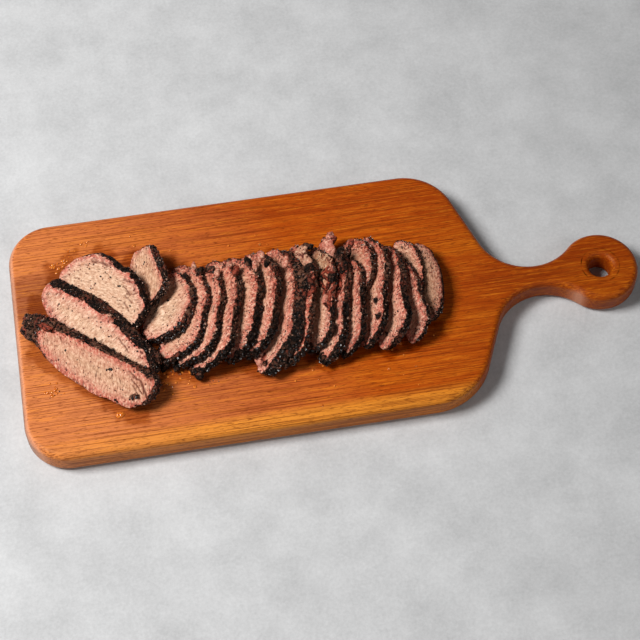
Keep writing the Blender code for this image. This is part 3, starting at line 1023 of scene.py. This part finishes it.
# %% Make the slices
slice_grids = []
closing_faces = slice_faces()
for number, row in enumerate(SLICES, start=1):
    grid = slice_grid(number, row)
    fields = grid["fields"] | patch_fields(number, grid["flat"], grid["points"], grid["station"])
    fields |= look_fields(number, row, grid["flat"], grid["points"], grid["bare"], fields["depth"])
    fields = {title: v.reshape(-1, *v.shape[2:]) for title, v in fields.items()}
    node = f"slice_{number:02d}"
    points = grid["points"].reshape(-1, 3)
    piece = make_piece(f"beef_{node}", points, closing_faces, beef, fields)
    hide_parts(node)
    slice_grids.append(grid)
print("slices made:", len(slice_grids), "faces each:", len(closing_faces))

# %% [markdown]
# ## Torn bits
# Carving a tri-tip across its changing grain tears shreds off some slices. They lie on the row's
# middle: a pink sliver at the far side, soft fat, a charred knob and strips stained with juice.
# Each is a sphere stretched along its slice's axes and roughened by noise, with the same fields as
# a slice, so that the same finish dresses it.

# %% Torn bits
LUMP_AROUND = 26
LUMP_RINGS = 16
KIND_FIELDS = {  # depth under the crust in mm, then fat, char, juice and mess
    "meat": (3.6, 0.0, 0.0, 0.1, 0.7),
    "fat": (5.0, 0.5, 0.0, 0.0, 1.9),
    "crust": (-1.0, 0.0, 0.0, 0.0, 0.9),
    "shred": (1.2, 0.0, 0.0, 1.0, 0.6),
}
LUMPS = (  # slice, along, rise, lift, radii along, up and out, turn in degrees, kind
    (14, 67, 19, 0, 6.5, 3.6, 2.6, 10, "meat"), (14, 59, 19, 0.5, 7, 5, 3, -20, "meat"),
    (14, 49, 22, 0.5, 7.5, 5, 3, 10, "meat"), (14, 63, 24, 0, 4, 2.4, 2, 60, "shred"),
    (14, 40, 31, 0.5, 9, 5, 3.6, 5, "crust"), (14, 30, 35, 0, 6, 4.5, 3, 0, "crust"),
    (12, 50, 23, 1, 8.5, 6.5, 3.4, 20, "fat"), (12, 55, 31, 1, 2.6, 4.4, 2, 10, "crust"),
    (12, 41, 27, 0.5, 7, 5, 3, -30, "fat"), (12, 58, 25, 0, 4, 3.5, 2.6, 0, "crust"),
    (12, 29, 30, 0.5, 9, 6, 2.4, 10, "crust"), (12, 17, 32, 0, 8, 5, 2.2, -10, "crust"),
    (12, 6, 37, 0, 6, 3, 2, 30, "shred"), (13, 11, 38, 0.5, 5, 4.5, 3, 0, "crust"),
    (13, 4, 34, 0.5, 7, 1.8, 1.4, 40, "shred"), (13, -2, 37, 0.5, 8, 1.6, 1.4, 65, "shred"),
    (13, 14, 31, 0.4, 6, 1.6, 1.3, -35, "shred"), (13, 1, 29, 0.4, 5, 1.5, 1.2, 20, "shred"),
    (13, -6, 31, 0.5, 4.5, 4, 2.2, 30, "meat"), (14, 22, 30, 0.3, 7, 1.8, 1.4, 35, "shred"),
    (14, 12, 27, 0.3, 6, 1.5, 1.2, 60, "shred"), (13, 18, 35, 0.6, 9, 1.9, 1.5, -50, "shred"),
    (13, 8, 27, 0.5, 9, 1.7, 1.4, -30, "shred"), (13, -10, 36, 0.6, 8, 1.8, 1.4, 10, "shred"),
    (13, -14, 33, 0.5, 6, 1.6, 1.3, -40, "shred"), (13, 22, 29, 0.5, 7, 1.7, 1.3, 60, "shred"),
    (13, 16, 24, 0.4, 6, 3.2, 1.8, 15, "crust"), (13, -20, 37, 0.4, 6, 2.6, 1.8, 0, "crust"),
    (13, -36, 33, 0.4, 6, 2.4, 1.8, 20, "crust"), (14, 14, 32, 0.5, 8, 1.8, 1.4, -20, "shred"),
    (14, 4, 31, 0.5, 7, 1.7, 1.4, 40, "shred"), (14, 30, 27, 0.5, 6, 2, 1.6, -60, "shred"),
    (1, 55, 27, 0.3, 8, 2.6, 2, -4, "shred"), (1, 60, 13, 0, 8, 6, 3, 10, "crust"),
    (5, -30, 2, -1, 6, 4, 3.6, 0, "crust"), (5, -36, 6, -2.5, 5, 4, 3.6, 20, "crust"),
    (6, -44, 4, -1, 7, 4, 3.6, 0, "crust"), (6, -50, 8, -2.5, 5, 4, 3.4, 20, "crust"),
    (6, -38, 1, 0, 5, 3, 2.6, 0, "crust"), (7, -46, 3, -1, 6, 3.6, 3.2, 0, "crust"),
    (8, -50, 3, -1, 6, 3.6, 3.2, 0, "crust"), (8, -56, 9, -3, 4, 3.6, 3.2, 0, "crust"),
    (11, -56, 13, -3, 5, 4, 3.4, 0, "crust"), (12, -54, 10, -1.5, 6, 4, 3.4, 10, "crust"),
    (12, -46, 4, 0, 5, 3, 2.6, 0, "crust"), (13, -46, 6, -1, 5, 3.6, 3, 0, "crust"),
    (14, -52, 9, -1.5, 5, 3.6, 3, 0, "crust"), (15, -46, 8, -1, 4, 3, 2.6, 0, "crust"),
    (6, 44, 30, 0.4, 6, 2.4, 2, -10, "meat"), (6, 37, 36, 0.4, 5, 3, 2.4, 30, "crust"),
    (7, 36, 36, 0.4, 5.5, 3, 2.4, 0, "meat"), (8, 38, 38, 0.4, 5.5, 3, 2.4, 15, "shred"),
    (9, 34, 40, 0.4, 6, 2.4, 2, 0, "meat"), (10, 28, 39, 0.4, 5, 3.4, 2.6, -20, "crust"),
    (11, 40, 30, 0.4, 6, 3, 2.2, 10, "meat"), (16, 24, 13, 0.5, 5, 4, 2.4, 20, "crust"),
    (16, 30, 18, 0.3, 4, 3, 2, 50, "shred"), (16, 16, 10, 0.3, 5, 3, 2, 0, "crust"),
    (11, -50, 5, 0.8, 9, 3.6, 2.6, -15, "meat"), (11, -43, 9, 0.6, 8, 3, 2.2, 20, "meat"),
    (11, -33, 15, 0.4, 5, 3, 1.8, 40, "fat"), (11, -24, 18, 0.4, 5, 2.6, 1.6, -30, "fat"),
    (5, 28, 36, 0, 3.5, 3, 2.4, 0, "crust"), (7, 43, 30, 0.5, 4, 3.5, 2.6, 0, "crust"),
    (8, 46, 32, 0.5, 5, 3, 2.6, 20, "meat"), (9, 41, 33, 0.5, 5.5, 3.5, 2.6, -10, "crust"),
    (10, 43, 28, 0.5, 5, 4, 2.6, 0, "meat"), (10, 35, 34, 0.3, 5, 3, 2.2, 30, "crust"),
)


def lump_shape(radii, seed):
    """A ball stretched to its radii and pushed in and out by noise."""
    solid = ball(np.linspace(0, np.pi, LUMP_RINGS + 2)[1:-1], LUMP_AROUND) * radii
    shifted = solid + 37.0 * seed
    push = 1.0 + 0.30 * soft_noise(shifted, 3.6, 21) + 0.28 * np.abs(soft_noise(shifted, 1.9, 22))
    return solid * push[:, None]


def place_on_face(number, along, rise, lift=0.0):
    """The front face's grid point nearest to a place in the slice's plane, lifted off the face."""
    grid = slice_grids[number - 1]
    off = np.linalg.norm(grid["flat"] - [along, rise], axis=-1)
    off[grid["station"] < 0.5] = np.inf
    ring, step = np.unravel_index(off.argmin(), off.shape)
    missed = np.array([along, rise]) - grid["flat"][ring, step]
    across = missed[0] * grid["along"] + missed[1] * grid["up"]
    return grid["points"][ring, step] + across + grid["out"] * lift


def make_torn_bits():
    placed, kinds = [], []
    for seed, (number, along, rise, lift, *radii, turn, kind) in enumerate(LUMPS):
        grid = slice_grids[number - 1]
        cosine, sine = math.cos(math.radians(turn)), math.sin(math.radians(turn))
        first = cosine * grid["along"] + sine * grid["up"]
        second = cosine * grid["up"] - sine * grid["along"]
        turned = lump_shape(radii, seed) @ np.stack([first, second, grid["out"]])
        placed.append(turned + place_on_face(number, along, rise, lift))
        kinds.append(np.tile(KIND_FIELDS[kind], (len(turned), 1)))
    points = np.concatenate(placed)
    same = np.ones(len(points))
    fields = dict(zip(("depth", "fat", "char", "juice", "mess"), np.concatenate(kinds).T))
    fields["depth"] = fields["depth"] + 1.5 * soft_noise(points, 4.0, 23)
    fields["roast"] = np.clip(0.45 + 0.5 * soft_noise(points, 9.0, 24), 0, 1)
    fields |= {"fibre": points, "reach": same, "cut": 0 * same}
    fields |= {"tone": 0.15 * same, "bite": 0.6 * same}
    faces = ball_faces(LUMP_RINGS, LUMP_AROUND, len(LUMPS))
    make_piece("torn_bits", points, faces, beef, fields)
    print("torn bits:", len(LUMPS))


make_torn_bits()

# %% [markdown]
# ## Crumbs of crust
# The crust sheds grit: cracked pepper, salt and burnt crumbs cling to the rims, are dragged over
# the cut faces and fall on the board. Each crumb is one twenty-sided solid, squashed and turned at
# random, and all of them are worked out in one array. A number per crumb picks its colour, from
# black to rust.

# %% Crumb shapes
GOLDEN = (1 + math.sqrt(5)) / 2
CORNERS = np.array([
    (-1, GOLDEN, 0), (1, GOLDEN, 0), (-1, -GOLDEN, 0), (1, -GOLDEN, 0),
    (0, -1, GOLDEN), (0, 1, GOLDEN), (0, -1, -GOLDEN), (0, 1, -GOLDEN),
    (GOLDEN, 0, -1), (GOLDEN, 0, 1), (-GOLDEN, 0, -1), (-GOLDEN, 0, 1),
]) / math.sqrt(1 + GOLDEN**2)
SIDES = np.array([
    (0, 11, 5), (0, 5, 1), (0, 1, 7), (0, 7, 10), (0, 10, 11),
    (1, 5, 9), (5, 11, 4), (11, 10, 2), (10, 7, 6), (7, 1, 8),
    (3, 9, 4), (3, 4, 2), (3, 2, 6), (3, 6, 8), (3, 8, 9),
    (4, 9, 5), (2, 4, 11), (6, 2, 10), (8, 6, 7), (9, 8, 1),
])


def random_turns(chance, count):
    """Rotation matrices from random unit quaternions."""
    quaternions = chance.normal(size=(4, count))
    w, x, y, z = quaternions / np.linalg.norm(quaternions, axis=0)
    rows = [
        [1 - 2 * (y * y + z * z), 2 * (x * y - z * w), 2 * (x * z + y * w)],
        [2 * (x * y + z * w), 1 - 2 * (x * x + z * z), 2 * (y * z - x * w)],
        [2 * (x * z - y * w), 2 * (y * z + x * w), 1 - 2 * (x * x + y * y)],
    ]
    return np.moveaxis(np.array(rows), 2, 0)


def crumb_cloud(places, radii, chance):
    """Corners and triangles of one crumb per place: each stretched, dented and turned at random."""
    count = len(places)
    stretch = chance.uniform(0.6, 1.25, size=(count, 1, 3))
    dents = chance.uniform(0.72, 1.15, size=(count, len(CORNERS), 1))
    shapes = np.einsum("nij,nkj->nki", random_turns(chance, count), CORNERS[None] * stretch * dents)
    points = (places[:, None] + shapes * radii[:, None, None]).reshape(-1, 3)
    faces = (SIDES[None] + len(CORNERS) * np.arange(count)[:, None, None]).reshape(-1, 3)
    return points, faces


def make_crust_bits():
    material, tree, shader = start_material("crust_bits")
    speckle = clouds(millimetres(tree), 0.7, 3.0, 0.6)
    colour = (field(tree, "tint") + (speckle - 0.5)).ramp(
        (0.00, (0.003, 0.0022, 0.002)),
        (0.45, (0.011, 0.006, 0.0045)),
        (0.68, (0.070, 0.027, 0.015)),
        (0.86, (0.19, 0.050, 0.024)),
        (1.00, (0.42, 0.27, 0.19)),
    )
    connect(shader, {
        "Base Color": colour,
        "Roughness": speckle.spread(0.35, 0.65, 0.10, 0.34),
        "Normal": bump(speckle, 0.25, 0.8),
        "Specular IOR Level": 0.50,
    })
    return material


crust_bits = make_crust_bits()
print("crumb:", len(CORNERS), "corners,", len(SIDES), "sides")

# %% Scatter the crumbs
RIM_CRUMBS = 205  # per slice
FACE_CRUMBS = 14
ROW_FACE_CRUMBS = 230  # the row's faces show only their crown side
NEAR_CLUMPS = 70  # bigger lumps on the near ends of the row's slices, where the crust is thickest
NEAR_SLICES = range(5, 15)
BOARD_CRUMBS = 150
PEPPER = (  # slice, along, rise, radius: coarse pepper seen on the cut faces
    (1, -13.3, 25.1, 1.7), (1, -11.6, 23.6, 1.5), (1, -15.0, 26.2, 1.4), (1, -33.2, 6.4, 1.4),
    (1, -35.4, 6.0, 1.2), (1, -46.0, 15.5, 1.6), (1, -48.6, 18.0, 1.7), (1, -44.5, 13.5, 1.2),
    (1, 29.1, 20.2, 1.2), (1, 22.9, 10.7, 0.9), (1, -34.1, 16.9, 0.8), (1, -29.0, 13.0, 0.8),
    (2, -12.2, 26.7, 1.3), (2, -13.6, 28.3, 0.9), (2, -37.0, 34.0, 1.0), (2, -41.8, 31.5, 1.0),
    (3, 12.4, 39.0, 0.9), (3, 4.1, 43.9, 0.9), (3, 13.9, 24.5, 0.9), (3, -5.8, 41.2, 1.4),
    (3, -7.2, 42.2, 0.9), (3, -26.6, 34.4, 1.3), (3, 9.1, 51.3, 1.0), (4, 13.8, 22.8, 1.3),
    (4, 12.6, 21.0, 1.0), (5, 4.6, 25.3, 1.3), (5, -22.3, 32.7, 0.9), (6, -18.2, 36.2, 1.5),
    (6, -4.3, 40.8, 0.9), (12, 50.5, 22.0, 1.5), (13, 20.2, 24.7, 1.2), (17, -17.7, 28.8, 2.2),
    (17, -16.0, 27.0, 1.8), (17, -33.5, 28.2, 2.2), (17, -31.5, 26.0, 1.6), (18, -23.5, 27.9, 1.4),
    (18, -39.3, 12.9, 1.5), (18, -37.3, 11.0, 1.1), (21, 21.0, 18.3, 1.1), (21, 8.1, 23.5, 1.1),
)
FALLEN = ((-142, -57), (-246, -56), (-253, -59), (-117, -69), (-150, -50), (-135, -52), (-112, -66))


def rim_places(grid, chance, count, steps):
    """Random points of the crust among some steps of its outline, set a little out from it."""
    station = grid["station"]
    rings = np.flatnonzero((grid["share"] >= 1.0) & (station > 0.04) & (station < 0.98))
    ring = chance.choice(rings, count)
    step = chance.choice(steps, count)
    lift = chance.uniform(-0.1, 0.35, size=(count, 1))
    return grid["points"][ring, step] + grid["outward"][step] * lift


def face_places(grid, chance, count, last_step):
    """Random points of the front face, most of them near its edge."""
    rings = np.flatnonzero((grid["share"] < 0.98) & (grid["station"] > 0.5))
    ring = rings[(len(rings) * chance.uniform(0, 1, count) ** 1.8 * 0.9).astype(int)]
    step = chance.integers(0, last_step, count)
    return grid["points"][ring, step]


def scatter_crumbs():
    chance = np.random.default_rng(7)
    places, radii, tints = [], [], []

    def add(spots, low, high, dark, light):
        places.append(spots)
        radii.append(chance.uniform(low, high, len(spots)))
        tints.append(chance.uniform(dark, light, len(spots)))

    for number, grid in enumerate(slice_grids, start=1):
        along = grid["flat"][BACK_RINGS][:, 0]
        near_steps = np.flatnonzero(along < along.min() * 0.62)
        crusted = np.flatnonzero(bare_share(number) < 0.4)
        add(rim_places(grid, chance, RIM_CRUMBS, crusted), 0.35, 1.05, 0.0, 1.0)
        clumps = NEAR_CLUMPS if number in NEAR_SLICES else 4
        add(rim_places(grid, chance, clumps, near_steps), 0.9, 2.0, 0.0, 0.5)
        if number <= 5:
            add(face_places(grid, chance, FACE_CRUMBS, AROUND), 0.22, 0.6, 0.0, 0.8)
        else:
            add(face_places(grid, chance, ROW_FACE_CRUMBS, AROUND // 2), 0.22, 0.68, 0.0, 0.85)
    pepper = [(place_on_face(*spot[:3], 0.2), spot[3]) for spot in PEPPER]
    places.append(np.array([spot for spot, _ in pepper]))
    radii.append(np.array([radius for _, radius in pepper]))
    tints.append(np.full(len(pepper), 0.12))

    rims = [grid["points"][grid["share"] >= 1.0].reshape(-1, 3) for grid in slice_grids]
    rims = np.concatenate(rims)
    low = rims[rims[:, 2] < BOARD_THICK + 2.0]
    fallen = low[chance.integers(0, len(low), BOARD_CRUMBS)]
    fallen[:, :2] += chance.normal(0, 4.0, size=(BOARD_CRUMBS, 2))
    known = np.array([(x, y, 0) for x, y in FALLEN for _ in range(3)], dtype=float)
    known[:, :2] += chance.normal(0, 2.0, size=(len(known), 2))
    fallen[:, 2] = known[:, 2] = BOARD_THICK + 0.3
    add(fallen, 0.3, 0.8, 0.0, 1.0)
    add(known, 0.3, 0.8, 0.60, 1.0)
    return np.concatenate(places), np.concatenate(radii), np.concatenate(tints), chance


crumb_places, crumb_radii, crumb_tints, crumb_chance = scatter_crumbs()
crumb_points, crumb_faces = crumb_cloud(crumb_places, crumb_radii, crumb_chance)
tint_field = {"tint": np.repeat(crumb_tints, len(CORNERS))}
make_piece(
    "crust_crumbs", crumb_points, crumb_faces, crust_bits, tint_field, smooth=False
)
print("crumbs:", len(crumb_places))

# %% [markdown]
# ## Drops of juice
# Small beads of juice and melted fat stand on the oiled wood beside the meat. Each is a flat dome,
# closed below, amber and very glossy, so that the window makes one bright point on it.

# %% Drops of juice
DROP_AROUND = 12
DROP_RINGS = 5
DROP_HEIGHT = 0.55  # of its radius
BIG_DROP = (-196, -85)
BIG_DROP_RADIUS = 2.8
DROP_CLUSTERS = (  # x, y, spread in mm, number of drops
    (-160, -61, 9, 26), (-138, -58, 8, 12), (-237, 70, 3.5, 16), (-229, 79, 3, 9),
    (-212, 91, 3.5, 7), (-251, -53, 4, 14), (-197, -86, 4, 6), (-196, -85, 0.1, 1),
    (-150, 72, 12, 8), (-60, 62, 14, 8), (60, -66, 14, 8), (-20, -74, 16, 8),
)


def make_juice():
    material, tree, shader = start_material("meat_juice")
    cloudy = clouds(millimetres(tree), 2.0, 2.0)
    amber = cloudy.ramp((0.4, (0.40, 0.080, 0.008)), (0.6, (0.70, 0.21, 0.030)))
    connect(shader, {"Base Color": amber, "Roughness": 0.06, "Specular IOR Level": 0.4})
    return material


def make_drops():
    """The upper half of a ball pressed flat, at random places about each cluster's middle."""
    chance = np.random.default_rng(11)
    spots = [chance.normal((x, y), wide, size=(count, 2)) for x, y, wide, count in DROP_CLUSTERS]
    spots = np.concatenate(spots)
    radius = chance.uniform(0.7, 1.7, len(spots))
    radius[np.linalg.norm(spots - BIG_DROP, axis=1) < 0.6] = BIG_DROP_RADIUS
    dome = ball(np.linspace(0.25, np.pi / 2, DROP_RINGS), DROP_AROUND) * [1, 1, DROP_HEIGHT]
    dome[-2:, 2] = DROP_HEIGHT + 0.01, 0.0
    base = np.pad(spots, ((0, 0), (0, 1)), constant_values=BOARD_THICK + 0.02)
    points = (base[:, None] + dome * radius[:, None, None]).reshape(-1, 3)
    faces = ball_faces(DROP_RINGS, DROP_AROUND, len(spots))
    make_piece("juice_drops", points, faces, make_juice())
    print("drops:", len(spots))


make_drops()

# %% [markdown]
# ## Floor and light
# A plain pale floor, with painted shade that darkens it towards the right, and daylight from a
# broad window on the left: one large soft lamp, a weaker fill from the near side, and a dim sky.
# The dim sky matters, because the top of the board mirrors it towards the camera, and a bright one
# would lay a grey veil over the wood.

# %% Floor and light
scene = bpy.context.scene
scene.view_settings.view_transform = "Standard"
FLOOR_REACH = 6.0  # metres
FLOOR_DROP = -0.0004  # keeps the floor off the board's underside
LAMPS = (  # name, place, size in metres, watts
    ("window", (-1.31, 0.10, 1.72), 0.80, 61.0),
    ("fill", (0.35, -1.8, 1.3), 1.6, 6.2),
    ("sparkle", (1.25, -0.75, 1.25), 0.30, 3.0),
)


def make_floor():
    material, tree, shader = start_material("pale_floor")
    place = millimetres(tree)
    dust = clouds(place, 60.0, 8.0, 0.68) * 0.62 + clouds(place, 3.0, 4.0, 0.75) * 0.38
    pale = dust.ramp((0.36, (0.435, 0.435, 0.436)), (0.64, (0.59, 0.59, 0.591)))
    # Painted shade: the floor darkens towards the right, away from the window.
    pale = blend(apart(place)[0].spread(0.0, 420.0, 0.0, 0.11), pale, (0.0, 0.0, 0.0))
    connect(shader, {"Base Color": pale, "Roughness": 0.75, "Specular IOR Level": 0.2})
    mesh = bpy.data.meshes.new("floor")
    signs = ((-1, -1), (1, -1), (1, 1), (-1, 1))
    corners = [(x * FLOOR_REACH, y * FLOOR_REACH, FLOOR_DROP) for x, y in signs]
    mesh.from_pydata(corners, [], [(0, 1, 2, 3)])
    mesh.materials.append(material)
    floor = bpy.data.objects.new("floor", mesh)
    scene.collection.objects.link(floor)


def make_lamp(name, place, size, watts):
    """A soft square lamp that faces the board's middle."""
    data = bpy.data.lights.new(name, "AREA")
    data.shape, data.size, data.energy = "SQUARE", size, watts
    lamp = bpy.data.objects.new(name, data)
    lamp.location = place
    lamp.rotation_euler = (-Vector(place)).to_track_quat("-Z", "Y").to_euler()
    scene.collection.objects.link(lamp)


make_floor()
for lamp in LAMPS:
    make_lamp(*lamp)
world = bpy.data.worlds.new("sky")
world.use_nodes = True
sky = world.node_tree.nodes["Background"]
connect(sky, {"Color": (0.96, 0.98, 1.0, 1.0), "Strength": 0.065})
scene.world = world
print("lamps:", len(LAMPS))
